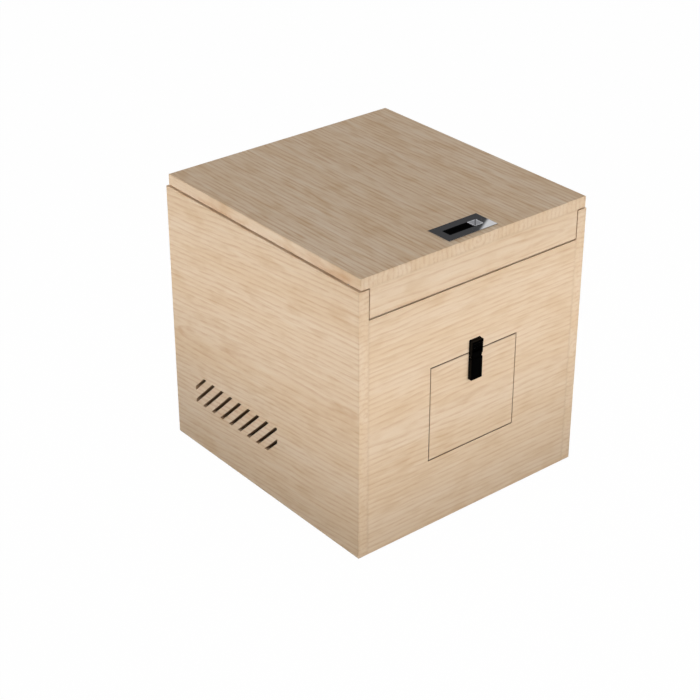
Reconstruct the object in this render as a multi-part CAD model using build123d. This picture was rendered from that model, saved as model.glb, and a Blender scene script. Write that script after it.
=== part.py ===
from build123d import *
import os

# Book drop box: a wooden carcass, a lid with a front lip, and a latched flap in the front.
# Millimetres. The origin is at the middle of the footprint, on the floor.
# +X is to the right, +Y to the back, +Z up.

# ---- driving dimensions ----------------------------------------------------------------
BOX_WIDTH = 450.0
BOX_DEPTH = 475.0
SIDE_HEIGHT = 451.0
BOARD = 18.0                    # thickness of every board
SEAM = 1.4                      # running gap round the flap
ARRIS = 0.8                     # rounding of the exposed outer edges
FINE_ARRIS = 0.3                # rounding of the edges along a seam
FIT = 0.05                      # clearance of a fastener or leaf in its hole or pocket
PROUD = 1.0                     # how far a cut is carried past the face it starts from

LID_GAP = 2.4                   # between the side tops and the lid, two hinge leaves thick
LID_SIDE_INSET = 3.2            # the lid is this much narrower than the box on each side
LID_BACK_INSET = 4.1            # room for the hinge knuckles behind the lid
LIP_HEIGHT = 49.5
LIP_SIDE_GAP = 1.4
LIP_BOTTOM_GAP = 1.9

FLAP_WIDTH = 173.0
FLAP_HEIGHT = 160.0
FLAP_BOTTOM = 120.3
FLAP_PIVOT_IN = 5.0             # pivot axis behind the front face
FLAP_PIVOT_UP = 20.0            # pivot axis above the flap's bottom edge
FLAP_SETBACK = 0.2              # the flap's inner face stays this far off the stop rail

# ---- places worked out from them -------------------------------------------------------
HALF_WIDTH = BOX_WIDTH / 2
FRONT = -BOX_DEPTH / 2
BACK = BOX_DEPTH / 2
INNER_HALF = HALF_WIDTH - BOARD
FRONT_INNER = FRONT + BOARD
BACK_INNER = BACK - BOARD
LID_BOTTOM = SIDE_HEIGHT + LID_GAP
LID_TOP = LID_BOTTOM + BOARD
LID_BACK = BACK - LID_BACK_INSET
LIP_BOTTOM = LID_BOTTOM - LIP_HEIGHT
FRONT_TOP = LIP_BOTTOM - LIP_BOTTOM_GAP
FLAP_TOP = FLAP_BOTTOM + FLAP_HEIGHT
FLAP_HALF = FLAP_WIDTH / 2
OPENING_HALF = FLAP_HALF + SEAM
FLAP_PIVOT_Y = FRONT + FLAP_PIVOT_IN
FLAP_PIVOT_Z = FLAP_BOTTOM + FLAP_PIVOT_UP
SIDES = (("left", -1), ("right", 1))


# ---- shared helpers --------------------------------------------------------------------
def block(x0, x1, y0, y1, z0, z1):
    """A rectangular block between two opposite corners, given in either order."""
    size = Box(abs(x1 - x0), abs(y1 - y0), abs(z1 - z0))
    return Pos((x0 + x1) / 2, (y0 + y1) / 2, (z0 + z1) / 2) * size


def edges_at(shape, axis, place):
    """The edges of a shape that lie at one value along an axis."""
    near = 0.01
    return shape.edges().filter_by_position(axis, place - near, place + near)


def rod(radius, axis, place, start, end):
    """A round bar along one axis, from start to end, through a place."""
    turn = {Axis.X: Rot(0, 90, 0), Axis.Y: Rot(-90, 0, 0), Axis.Z: Rot(0, 0, 0)}[axis]
    middle = axis.direction * ((start + end) / 2)
    return Pos(Vector(*place) + middle) * turn * Cylinder(radius, abs(end - start))


def cut_each(shape, tools):
    """The shape with each tool cut out of it."""
    for tool in tools:
        shape = shape - tool
    return shape


def copies(shape, places):
    """The shape repeated at each place, as separate solids."""
    return [place * shape for place in places]


def save(name, *solids):
    """Write one node: a single solid, or a group of separate solids."""
    shape = solids[0] if len(solids) == 1 else Compound(children=list(solids))
    shape.label = name
    export_step(shape, f"parts/{name}.step")


# ---- countersunk screws ----------------------------------------------------------------
RECESS_LENGTH = 1.2             # driver recess: arm length, as a share of the head's radius
RECESS_ARM = 0.3                # arm width, as a share of its length
RECESS_DEPTH = 0.7              # as a share of the head's height


class Screw:
    """One size of countersunk wood screw. It points down, with its head's flat at z = 0."""

    def __init__(self, shank, head, head_height, length):
        self.shank = shank / 2
        self.head = head / 2
        self.head_height = head_height
        self.length = length

    def solid(self):
        """The screw, with a cross-shaped driver recess."""
        stem_end = self.length - self.shank * 2
        outline = Polyline(
            (0, 0), (self.head, 0), (self.shank, -self.head_height),
            (self.shank, -stem_end), (0, -self.length), close=True,
        )
        body = revolve(Plane.XZ * make_face(outline), Axis.Z)
        reach = self.head * RECESS_LENGTH
        arm = reach * RECESS_ARM
        depth = self.head_height * RECESS_DEPTH
        cross = Box(reach, arm, depth) + Box(arm, reach, depth)
        return body - Pos(0, 0, -depth / 2) * cross

    def hole(self):
        """The countersunk hole that it sits in."""
        outline = Polyline(
            (0, 0), (self.head + FIT, 0), (self.shank + FIT, -self.head_height),
            (self.shank + FIT, -self.length - FIT), (0, -self.length - FIT), close=True,
        )
        return revolve(Plane.XZ * make_face(outline), Axis.Z)


POINT_UP = Rot(180, 0, 0)
POINT_BACK = Rot(90, 0, 0)
POINT_FRONT = Rot(-90, 0, 0)


def point_side(side):
    """The turn that points a screw to the left (-1) or to the right (1)."""
    return Rot(0, -90 * side, 0)


# ---- dowels that hold the carcass boards together --------------------------------------
DOWEL_RADIUS = 4.0
DOWEL_IN_SIDE = 12.0
DOWEL_IN_END = 24.0
DOWEL_HEIGHTS = (50.0, 150.0, 260.0, 370.0)
DOWEL_DEPTHS = (-150.0, 0.0, 150.0)


def dowels(board, sides=(-1, 1), extra=0.0):
    """The dowels between a board's ends and the sides, or with extra the holes for them."""
    middle = BOARD / 2
    rows = {
        "front": [(FRONT + middle, height) for height in DOWEL_HEIGHTS],
        "back": [(BACK - middle, height) for height in DOWEL_HEIGHTS],
        "bottom": [(depth, middle) for depth in DOWEL_DEPTHS],
    }
    outer = INNER_HALF + DOWEL_IN_SIDE + extra
    inner = INNER_HALF - DOWEL_IN_END - extra
    return [
        rod(DOWEL_RADIUS + extra, Axis.X, (0, y, z), side * inner, side * outer)
        for side in sides
        for y, z in rows[board]
    ]


# ---- ventilation slots in the left side ------------------------------------------------
VENT_COUNT = 10
VENT_PITCH = 24.0
VENT_WIDTH = 5.5                # across the slot
VENT_BOTTOM = 83.0
VENT_HEIGHT = 53.0
VENT_FRONT = -38.5              # front end of the row
VENT_LENGTH = 220.0
VENT_FIRST = 3.0                # from the front end to the first slot's middle, at mid-height
VENT_SLANT = 45.0


def vent_slots():
    """Slots that rise towards the front, all trimmed to one rectangle."""
    middle_x = -HALF_WIDTH + BOARD / 2
    middle_z = VENT_BOTTOM + VENT_HEIGHT / 2
    window = Pos(middle_x, VENT_FRONT + VENT_LENGTH / 2, middle_z) * Box(
        BOARD * 2, VENT_LENGTH, VENT_HEIGHT
    )
    strip = Rot(VENT_SLANT, 0, 0) * Box(BOARD * 2, VENT_WIDTH, VENT_HEIGHT * 2)
    places = [
        Pos(middle_x, VENT_FRONT + VENT_FIRST + number * VENT_PITCH, middle_z)
        for number in range(VENT_COUNT)
    ]
    return [slot & window for slot in copies(strip, places)]


# ---- lid hinges: butt hinges on the back panel's top edge ------------------------------
HINGE_MIDDLE = 140.0            # from the middle of the box
HINGE_LENGTH = 50.0
HINGE_LEAF = 1.15               # leaf thickness
HINGE_KNUCKLE = 1.9             # knuckle radius
HINGE_PIN = 1.0                 # pin radius
HINGE_AXIS_Y = BACK - 2.0
HINGE_AXIS_Z = SIDE_HEIGHT + 2.0
HINGE_LEAF_REACH = 15.5         # from the axis to the leaf's edge
HINGE_KNUCKLE_END = 15.0        # length of each outer knuckle
HINGE_PLAY = 0.3                # between neighbouring knuckles
HINGE_CLEAR = 0.25              # between a leaf and the other leaf's knuckles
HINGE_SCREWS = (-17.0, 0.0, 17.0)
HINGE_SCREW_IN = 10.0           # from the axis to the screws
HINGE_SCREW = Screw(shank=2.6, head=5.2, head_height=1.1, length=12.0)


def hinge_leaf(middle, lid_side):
    """A butt hinge leaf: a plate with screw holes, rolled into knuckles at its back edge."""
    low = LID_BOTTOM - HINGE_LEAF if lid_side else SIDE_HEIGHT
    high = low + HINGE_LEAF
    half = HINGE_LENGTH / 2
    inner_half = half - HINGE_KNUCKLE_END
    plate_back = HINGE_AXIS_Y - HINGE_KNUCKLE - HINGE_CLEAR
    plate_front = HINGE_AXIS_Y - HINGE_LEAF_REACH
    leaf = block(middle - half, middle + half, plate_front, plate_back, low, high)
    if lid_side:
        spans = [(-inner_half + HINGE_PLAY, inner_half - HINGE_PLAY)]
    else:
        spans = [(-half, -inner_half), (inner_half, half)]
    for start, end in spans:
        start += middle
        end += middle
        leaf = leaf + block(start, end, plate_back, HINGE_AXIS_Y, low, high)
        leaf = leaf + rod(HINGE_KNUCKLE, Axis.X, (0, HINGE_AXIS_Y, HINGE_AXIS_Z), start, end)
    bore = HINGE_PIN + (FIT if lid_side else 0.0)
    leaf = leaf - rod(
        bore, Axis.X, (middle, HINGE_AXIS_Y, HINGE_AXIS_Z), -HINGE_LENGTH, HINGE_LENGTH
    )
    return cut_each(leaf, copies(HINGE_SCREW.hole(), hinge_screw_places(middle, lid_side)))


def hinge_screw_places(middle, lid_side):
    """Where the screws of one leaf go: down into the back panel, or up into the lid."""
    y = HINGE_AXIS_Y - HINGE_SCREW_IN
    if lid_side:
        return [Pos(middle + x, y, LID_BOTTOM - HINGE_LEAF) * POINT_UP for x in HINGE_SCREWS]
    return [Pos(middle + x, y, SIDE_HEIGHT + HINGE_LEAF) for x in HINGE_SCREWS]


def all_hinge_screw_places(lid_side):
    """The screw places of both hinges on one side of the joint."""
    return [
        place
        for _, side in SIDES
        for place in hinge_screw_places(side * HINGE_MIDDLE, lid_side)
    ]


def hinge_pin(middle):
    """The plain pin through the knuckles."""
    half = HINGE_LENGTH / 2
    return rod(HINGE_PIN, Axis.X, (middle, HINGE_AXIS_Y, HINGE_AXIS_Z), -half, half)


# ---- flap hinges: flat leaves let into the edges of the flap and the opening -----------
LEAF_THICK = 2.4
LEAF_POCKET = 2.5
LEAF_FRONT = FLAP_PIVOT_Y - 3.8
LEAF_BACK = FLAP_PIVOT_Y + 7.2
LEAF_BOTTOM = FLAP_PIVOT_Z - 6.0
LEAF_TOP = FLAP_PIVOT_Z + 36.0
LEAF_CORNER = 2.0
LEAF_SCREW_Y = FLAP_PIVOT_Y + 2.0
LEAF_SCREW_HEIGHTS = (14.0, 28.0)       # above the pivot
LEAF_SCREW = Screw(shank=2.6, head=5.2, head_height=1.6, length=13.0)
FLAP_PIN = 2.0                          # pin radius


def leaf_span(side, on_frame, depth):
    """The x range of a leaf or pocket of one depth, from its mouth at the seam."""
    mouth = OPENING_HALF if on_frame else FLAP_HALF
    end = mouth + depth if on_frame else mouth - depth
    return side * mouth, side * end


def flap_leaf(side, on_frame):
    """A flat hinge leaf with rounded corners, a pivot hole and screw holes."""
    mouth, end = leaf_span(side, on_frame, LEAF_THICK)
    leaf = block(mouth, end, LEAF_FRONT, LEAF_BACK, LEAF_BOTTOM, LEAF_TOP)
    leaf = fillet(leaf.edges().filter_by(Axis.X), LEAF_CORNER)
    bore = FLAP_PIN if on_frame else FLAP_PIN + FIT
    pivot = (0, FLAP_PIVOT_Y, FLAP_PIVOT_Z)
    leaf = leaf - rod(bore, Axis.X, pivot, mouth - side * BOARD, end + side * BOARD)
    return cut_each(leaf, copies(LEAF_SCREW.hole(), leaf_screw_places(side, on_frame)))


def leaf_pocket(side, on_frame):
    """The pocket that a leaf is let into."""
    mouth, end = leaf_span(side, on_frame, LEAF_POCKET)
    proud = mouth + (mouth - end)
    return block(
        proud, end,
        LEAF_FRONT - FIT, LEAF_BACK + FIT,
        LEAF_BOTTOM - FIT, LEAF_TOP + FIT,
    )


def leaf_screw_places(side, on_frame):
    """Where a leaf's screws go: outwards into the front panel, or inwards into the flap."""
    mouth, _ = leaf_span(side, on_frame, LEAF_THICK)
    turn = point_side(side if on_frame else -side)
    return [
        Pos(mouth, LEAF_SCREW_Y, FLAP_PIVOT_Z + height) * turn for height in LEAF_SCREW_HEIGHTS
    ]


def all_leaf_screw_places(on_frame):
    """The screw places of both flap hinges, in the front panel or in the flap."""
    return [place for _, side in SIDES for place in leaf_screw_places(side, on_frame)]


def flap_pin(side):
    """The pivot pin, fixed in the frame leaf and turning in the flap leaf."""
    outer = side * (OPENING_HALF + LEAF_THICK)
    inner = side * (FLAP_HALF - LEAF_THICK)
    return rod(FLAP_PIN, Axis.X, (0, FLAP_PIVOT_Y, FLAP_PIVOT_Z), outer, inner)


# ---- stop rail behind the flap ---------------------------------------------------------
RAIL_HALF = 106.0
RAIL_DEPTH = 12.0
RAIL_HEIGHT = 12.0
RAIL_PLAY = 0.3                 # left under the rail when the flap is fully open
RAIL_BOTTOM = FLAP_PIVOT_Z + BOARD - FLAP_PIVOT_IN + RAIL_PLAY
RAIL_SCREW_X = 96.5
RAIL_SCREW = Screw(shank=3.0, head=6.0, head_height=1.8, length=22.0)


def rail_screw_places():
    """One screw at each end of the rail, forwards into the front panel."""
    y = FRONT_INNER + RAIL_DEPTH
    z = RAIL_BOTTOM + RAIL_HEIGHT / 2
    return [Pos(side * RAIL_SCREW_X, y, z) * POINT_FRONT for _, side in SIDES]


def flap_stop_rail():
    """The rail across the back of the opening, which stops the flap shut and open."""
    rail = block(
        -RAIL_HALF, RAIL_HALF,
        FRONT_INNER, FRONT_INNER + RAIL_DEPTH,
        RAIL_BOTTOM, RAIL_BOTTOM + RAIL_HEIGHT,
    )
    rail = fillet(edges_at(rail, Axis.Y, FRONT_INNER + RAIL_DEPTH), ARRIS)
    return cut_each(rail, copies(RAIL_SCREW.hole(), rail_screw_places()))


# ---- toggle latch ----------------------------------------------------------------------
# Depths in this section are measured forwards from the box's front face.
LATCH_HALF = 11.2
LATCH_PLATE = 1.0
LATCH_DEPTH = 7.0
LATCH_BOTTOM = 234.7
LATCH_TOP = 302.4
LATCH_ROUND = 1.2               # corner radius of the plates
BASE_TOP = FLAP_TOP + SEAM + 0.2
LEVER_PIVOT_Z = 281.0
LEVER_PIVOT_DEPTH = 3.4
BAIL_PIVOT_Z = LEVER_PIVOT_Z - 7.0
RIVET = 0.9                     # radius of the lever's rivets and the bail's pin
EAR_INNER = 7.0
EAR_OUTER = 7.8
EAR_RADIUS = 2.0
EAR_BOTTOM = BAIL_PIVOT_Z - 1.0
LEVER_INNER = 8.0
LEVER_OUTER = 8.8
LEVER_EYE = 2.0                 # radius of the lever's cheeks round the pivot
LEVER_TOP = LEVER_PIVOT_Z + 0.6
LEVER_SHOULDER = BAIL_PIVOT_Z - 2.4
LEVER_TAB = LEVER_SHOULDER - 2.0        # where the narrow top joins the wide face
LEVER_SKIN = 1.1                # thickness of the lever's face
LEVER_WALL = 0.9                # thickness of the walls round the wide part
LEVER_BACK = 1.3
LEVER_BOTTOM = LATCH_BOTTOM + 0.1
CHEEK_BOTTOM = BAIL_PIVOT_Z - 14.0
CHEEK_BEND = BAIL_PIVOT_Z - 8.0
BAIL_INNER = 9.4
BAIL_OUTER = 11.1
BAIL_BACK = 2.4
BAIL_FRONT = 5.3
BAIL_SWELL = BAIL_PIVOT_Z + 4.0         # above this the arms are deeper
BAIL_SWELL_FRONT = 7.0
BAIL_EYE = 1.9                  # radius of the arms round the pin
BAR_BOTTOM = 296.4
BAR_TOP = 300.8
BAR_FRONT = 8.2
BAR_ROUND = 1.3
KEEPER_BOTTOM = BASE_TOP + 0.3
KEEPER_HALF = 8.4
LEDGE_BOTTOM = 290.3
LEDGE_TOP = 295.8
KEEPER_LIP_BOTTOM = 301.2
KEEPER_LIP_DEPTH = 4.4
KEEPER_SCREW_Z = 285.8
KEEPER_PEG_Z = 293.0
KEEPER_PEG = 1.0                # radius of the peg that stops the keeper turning
KEEPER_PEG_LENGTH = 3.0
LATCH_SCREW = Screw(shank=2.0, head=3.8, head_height=0.9, length=10.0)
BASE_SCREW_HEIGHTS = (242.0, 264.0)


def forward(depth):
    """The y of a depth measured forwards from the front face."""
    return FRONT - depth


def latch_block(half, near, far, low, high):
    """A block centred on the latch, between two depths and two heights."""
    return block(-half, half, forward(far), forward(near), low, high)


def latch_side_plate(side, inner, outer, outline):
    """A flat cheek of the latch, from an outline of (depth, height) points."""
    points = [(forward(depth), height) for depth, height in outline]
    face = Plane.YZ * make_face(Polyline(*points, close=True))
    return Pos(side * (inner + outer) / 2, 0, 0) * extrude(face, (outer - inner) / 2, both=True)


def latch_base():
    """The plate on the flap, with two ears that carry the lever."""
    base = latch_block(LATCH_HALF, 0, LATCH_PLATE, LATCH_BOTTOM, BASE_TOP)
    base = fillet(edges_at(base, Axis.Z, LATCH_BOTTOM).filter_by(Axis.Y), LATCH_ROUND)
    pivot = (0, forward(LEVER_PIVOT_DEPTH), LEVER_PIVOT_Z)
    for _, side in SIDES:
        ear = latch_side_plate(side, EAR_INNER, EAR_OUTER, [
            (LATCH_PLATE / 2, EAR_BOTTOM),
            (LEVER_PIVOT_DEPTH + EAR_RADIUS, LEVER_PIVOT_Z),
            (LEVER_PIVOT_DEPTH, BASE_TOP),
            (LATCH_PLATE / 2, BASE_TOP),
        ])
        eye = rod(EAR_RADIUS, Axis.X, pivot, side * EAR_INNER, side * EAR_OUTER)
        base = base + ear + eye
    base = base - rod(RIVET, Axis.X, pivot, -LATCH_HALF, LATCH_HALF)
    return cut_each(base, copies(LATCH_SCREW.hole(), base_screw_places()))


def base_screw_places():
    """The two screws under the lever, backwards into the flap."""
    y = forward(LATCH_PLATE)
    return [Pos(0, y, height) * POINT_BACK for height in BASE_SCREW_HEIGHTS]


def latch_lever():
    """The lever: a shallow tray with a narrow top between two cheeks, so that the bail can pass."""
    face_back = LATCH_DEPTH - LEVER_SKIN
    wide = latch_block(LATCH_HALF, LEVER_BACK, LATCH_DEPTH, LEVER_BOTTOM, LEVER_SHOULDER)
    wide = fillet(wide.edges().filter_by(Axis.Y), LATCH_ROUND)
    wide = fillet(edges_at(wide, Axis.Y, forward(LATCH_DEPTH)), LEVER_SKIN / 2)
    wide = wide - latch_block(
        LATCH_HALF - LEVER_WALL, 0, face_back, LEVER_BOTTOM + LEVER_WALL, LEVER_SHOULDER + PROUD
    )
    narrow = latch_block(
        LEVER_OUTER, face_back, LATCH_DEPTH - FINE_ARRIS, LEVER_TAB, LEVER_TOP
    )
    lever = wide + narrow
    pivot = (0, forward(LEVER_PIVOT_DEPTH), LEVER_PIVOT_Z)
    for _, side in SIDES:
        cheek = latch_side_plate(side, LEVER_INNER, LEVER_OUTER, [
            (face_back + LEVER_SKIN / 2, LEVER_TOP),
            (face_back + LEVER_SKIN / 2, CHEEK_BOTTOM),
            (LEVER_PIVOT_DEPTH, CHEEK_BOTTOM),
            (LEVER_PIVOT_DEPTH - LEVER_EYE, CHEEK_BEND),
            (LEVER_PIVOT_DEPTH - LEVER_EYE, LEVER_PIVOT_Z),
            (LEVER_PIVOT_DEPTH, LEVER_TOP),
        ])
        eye = rod(LEVER_EYE, Axis.X, pivot, side * LEVER_INNER, side * LEVER_OUTER)
        lever = lever + cheek + eye
    swing = latch_block(LATCH_HALF, 0, LATCH_DEPTH, LEVER_PIVOT_Z, LATCH_TOP)
    swing = swing - rod(LATCH_DEPTH / 2, Axis.X, pivot, -LATCH_HALF, LATCH_HALF)
    lever = lever - swing
    lever = lever - rod(RIVET + FIT, Axis.X, pivot, -LATCH_HALF, LATCH_HALF)
    bail_pivot = (0, forward(LEVER_PIVOT_DEPTH), BAIL_PIVOT_Z)
    return lever - rod(RIVET, Axis.X, bail_pivot, -LATCH_HALF, LATCH_HALF)


def latch_lever_rivets():
    """The two rivets that the lever turns on."""
    pivot = (0, forward(LEVER_PIVOT_DEPTH), LEVER_PIVOT_Z)
    return [
        rod(RIVET, Axis.X, pivot, side * EAR_INNER, side * LEVER_OUTER) for _, side in SIDES
    ]


def latch_bail_pin():
    """The pin across the lever that carries the bail."""
    pivot = (0, forward(LEVER_PIVOT_DEPTH), BAIL_PIVOT_Z)
    return rod(RIVET, Axis.X, pivot, -BAIL_OUTER, BAIL_OUTER)


def latch_bail():
    """The loop that hooks over the keeper: two arms and a rounded bar."""
    bar = latch_block(BAIL_OUTER, BAIL_BACK, BAR_FRONT, BAR_BOTTOM, BAR_TOP)
    bar = fillet(edges_at(bar, Axis.Y, forward(BAR_FRONT)), BAR_ROUND)
    bail = bar
    pivot = (0, forward(LEVER_PIVOT_DEPTH), BAIL_PIVOT_Z)
    for _, side in SIDES:
        arm = block(
            side * BAIL_INNER, side * BAIL_OUTER,
            forward(BAIL_FRONT), forward(BAIL_BACK),
            BAIL_PIVOT_Z, BAR_BOTTOM + PROUD,
        )
        swell = block(
            side * BAIL_INNER, side * BAIL_OUTER,
            forward(BAIL_SWELL_FRONT), forward(BAIL_BACK),
            BAIL_SWELL, BAR_BOTTOM + PROUD,
        )
        eye = rod(BAIL_EYE, Axis.X, pivot, side * BAIL_INNER, side * BAIL_OUTER)
        bail = bail + arm + swell + eye
    return bail - rod(RIVET + FIT, Axis.X, pivot, -LATCH_HALF, LATCH_HALF)


def keeper_peg(extra=0.0):
    """The peg behind the keeper, or with extra the hole for it."""
    return rod(
        KEEPER_PEG + extra, Axis.Y, (0, 0, KEEPER_PEG_Z),
        forward(LATCH_PLATE / 2), forward(-KEEPER_PEG_LENGTH - extra),
    )


def keeper_screw_place():
    """The keeper's one screw, backwards into the front panel."""
    return Pos(0, forward(LATCH_PLATE), KEEPER_SCREW_Z) * POINT_BACK


def latch_keeper():
    """The catch plate on the front panel: a ledge with an open front, and a sloping top lip."""
    keeper = latch_block(LATCH_HALF, 0, LATCH_PLATE, KEEPER_BOTTOM, LATCH_TOP)
    keeper = fillet(edges_at(keeper, Axis.Z, LATCH_TOP).filter_by(Axis.Y), LATCH_ROUND)
    ledge = latch_block(KEEPER_HALF, LATCH_PLATE / 2, LATCH_DEPTH, LEDGE_BOTTOM, LEDGE_TOP)
    ledge = fillet(edges_at(ledge, Axis.Y, forward(LATCH_DEPTH)), LATCH_ROUND / 2)
    lip = Pos(-LATCH_HALF + LATCH_ROUND, 0, 0) * extrude(
        Plane.YZ * make_face(Polyline(
            (forward(LATCH_PLATE / 2), KEEPER_LIP_BOTTOM),
            (forward(KEEPER_LIP_DEPTH), KEEPER_LIP_BOTTOM),
            (forward(LATCH_PLATE), LATCH_TOP),
            (forward(LATCH_PLATE / 2), LATCH_TOP),
            close=True,
        )),
        2 * (LATCH_HALF - LATCH_ROUND),
    )
    keeper = keeper + ledge + lip + keeper_peg()
    return keeper - keeper_screw_place() * LATCH_SCREW.hole()


# ---- carcass ---------------------------------------------------------------------------
def side_panel(side):
    """A full-height side board with its outer edges eased."""
    panel = block(side * INNER_HALF, side * HALF_WIDTH, FRONT, BACK, 0, SIDE_HEIGHT)
    panel = fillet(edges_at(panel, Axis.X, side * HALF_WIDTH), ARRIS)
    for board in ("front", "back", "bottom"):
        panel = cut_each(panel, dowels(board, sides=(side,), extra=FIT))
    return panel


def back_panel():
    """The board between the sides at the back, which carries the lid hinges."""
    panel = block(-INNER_HALF, INNER_HALF, BACK_INNER, BACK, 0, SIDE_HEIGHT)
    panel = cut_each(panel, dowels("back", extra=FIT))
    return cut_each(panel, copies(HINGE_SCREW.hole(), all_hinge_screw_places(lid_side=False)))


def bottom_panel():
    """The floor board, level with the bottom of the walls."""
    panel = block(-INNER_HALF, INNER_HALF, FRONT_INNER, BACK_INNER, 0, BOARD)
    return cut_each(panel, dowels("bottom", extra=FIT))


def front_panel():
    """The board between the sides at the front, cut out for the flap."""
    panel = block(-INNER_HALF, INNER_HALF, FRONT, FRONT_INNER, 0, FRONT_TOP)
    opening = block(
        -OPENING_HALF, OPENING_HALF, FRONT - PROUD, FRONT_INNER + PROUD,
        FLAP_BOTTOM - SEAM, FLAP_TOP + SEAM,
    )
    panel = panel - opening
    rim = [
        edge for edge in edges_at(panel, Axis.Y, FRONT)
        if abs(edge.center().X) < INNER_HALF - PROUD and edge.center().Z > PROUD
    ]
    panel = fillet(rim, FINE_ARRIS)
    panel = cut_each(panel, dowels("front", extra=FIT))
    panel = cut_each(panel, [leaf_pocket(side, on_frame=True) for _, side in SIDES])
    panel = cut_each(panel, copies(LEAF_SCREW.hole(), all_leaf_screw_places(on_frame=True)))
    panel = cut_each(panel, copies(RAIL_SCREW.hole(), rail_screw_places()))
    panel = panel - keeper_screw_place() * LATCH_SCREW.hole()
    return panel - keeper_peg(FIT)


MAT_THICK = 12.0
MAT_MARGIN = 3.0
MAT_CORNER = 12.0


def drop_mat():
    """The pad that the books land on, lying loose on the floor board."""
    mat = block(
        -INNER_HALF + MAT_MARGIN, INNER_HALF - MAT_MARGIN,
        FRONT_INNER + MAT_MARGIN, BACK_INNER - MAT_MARGIN,
        BOARD, BOARD + MAT_THICK,
    )
    return fillet(mat.edges().filter_by(Axis.Z), MAT_CORNER)


# ---- lid -------------------------------------------------------------------------------
LIP_DOWEL_X = (-150.0, -50.0, 50.0, 150.0)
LIP_DOWEL_UP = 12.0
LIP_DOWEL_DOWN = 18.0
LIP_HALF = INNER_HALF - LIP_SIDE_GAP
BUMPER_RADIUS = 4.0
BUMPER_THICK = 2.3
BUMPER_Y = FRONT + 30.0


def lip_dowels(extra=0.0):
    """The dowels between the lid and its lip, or with extra the holes for them."""
    middle = FRONT + BOARD / 2
    low = LID_BOTTOM - LIP_DOWEL_DOWN - extra
    high = LID_BOTTOM + LIP_DOWEL_UP + extra
    return [rod(DOWEL_RADIUS + extra, Axis.Z, (x, middle, 0), low, high) for x in LIP_DOWEL_X]


def lid_panel():
    """The top board, recessed for the flush pull."""
    half = HALF_WIDTH - LID_SIDE_INSET
    panel = block(-half, half, FRONT, LID_BACK, LID_BOTTOM, LID_TOP)
    panel = fillet(edges_at(panel, Axis.Z, LID_TOP), ARRIS)
    panel = panel - pull_recess()
    panel = cut_each(panel, lip_dowels(FIT))
    panel = cut_each(panel, copies(HINGE_SCREW.hole(), all_hinge_screw_places(lid_side=True)))
    return cut_each(panel, copies(PULL_SCREW.hole(), pull_screw_places()))


def lid_lip():
    """The strip under the lid's front edge, which hangs between the sides."""
    lip = block(-LIP_HALF, LIP_HALF, FRONT, FRONT_INNER, LIP_BOTTOM, LID_BOTTOM)
    rim = [
        edge for edge in edges_at(lip, Axis.Y, FRONT)
        if edge.center().Z < LID_BOTTOM - PROUD
    ]
    lip = fillet(rim, FINE_ARRIS)
    return cut_each(lip, lip_dowels(FIT))


def lid_bumpers():
    """Two soft discs on the side tops that the lid comes down on."""
    x = HALF_WIDTH - BOARD / 2
    top = SIDE_HEIGHT + BUMPER_THICK
    return [
        rod(BUMPER_RADIUS, Axis.Z, (side * x, BUMPER_Y, 0), SIDE_HEIGHT, top)
        for _, side in SIDES
    ]


# ---- flush pull in the lid -------------------------------------------------------------
PULL_WIDTH = 96.0
PULL_DEPTH = 47.0
PULL_PLATE = 1.5
PULL_Y = FRONT + 34.5
SLOT_WIDTH = 66.5
SLOT_DEPTH = 18.0
SLOT_UNDERCUT = 6.0             # the cup reaches this far under the plate's front edge
CUP_DEPTH = 6.0                 # from the plate's top to the cup's floor
CUP_WALL = 1.0
CUP_CORNER = 1.0                # corner radius of the slot and the cup
PULL_TOP = LID_TOP + PULL_PLATE
CUP_FLOOR = PULL_TOP - CUP_DEPTH
CUP_FRONT = PULL_Y - SLOT_DEPTH / 2 - SLOT_UNDERCUT
CUP_BACK = PULL_Y + SLOT_DEPTH / 2
PULL_SCREW_X = 22.0
PULL_SCREW = Screw(shank=2.4, head=4.6, head_height=1.0, length=7.0)


def cup(margin, low, high):
    """The cup's block, from one height to another, grown by a margin on every side."""
    half = SLOT_WIDTH / 2 + margin
    shape = block(-half, half, CUP_FRONT - margin, CUP_BACK + margin, low, high)
    return fillet(shape.edges().filter_by(Axis.Z), CUP_CORNER + margin)


def pull_recess():
    """The recess in the lid that takes the cup."""
    return cup(CUP_WALL + 2 * FIT, CUP_FLOOR - CUP_WALL, LID_TOP + PROUD)


def pull_screw_places():
    """The two screws through the cup's floor, down into the lid."""
    return [
        Pos(side * PULL_SCREW_X, (CUP_FRONT + CUP_BACK) / 2, CUP_FLOOR) for _, side in SIDES
    ]


def flush_pull():
    """The pull: a flat plate with a slot over a cup that undercuts its front edge."""
    plate = block(
        -PULL_WIDTH / 2, PULL_WIDTH / 2,
        PULL_Y - PULL_DEPTH / 2, PULL_Y + PULL_DEPTH / 2,
        LID_TOP, PULL_TOP,
    )
    plate = fillet(edges_at(plate, Axis.Z, PULL_TOP), ARRIS / 2)
    slot = Pos(0, PULL_Y, 0) * block(
        -SLOT_WIDTH / 2, SLOT_WIDTH / 2, -SLOT_DEPTH / 2, SLOT_DEPTH / 2,
        LID_TOP, PULL_TOP + PROUD,
    )
    slot = fillet(slot.edges().filter_by(Axis.Z), CUP_CORNER)
    pull = plate + cup(CUP_WALL, CUP_FLOOR - CUP_WALL, LID_TOP)
    pull = pull - cup(0, CUP_FLOOR, LID_TOP) - slot
    return cut_each(pull, copies(PULL_SCREW.hole(), pull_screw_places()))


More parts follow.
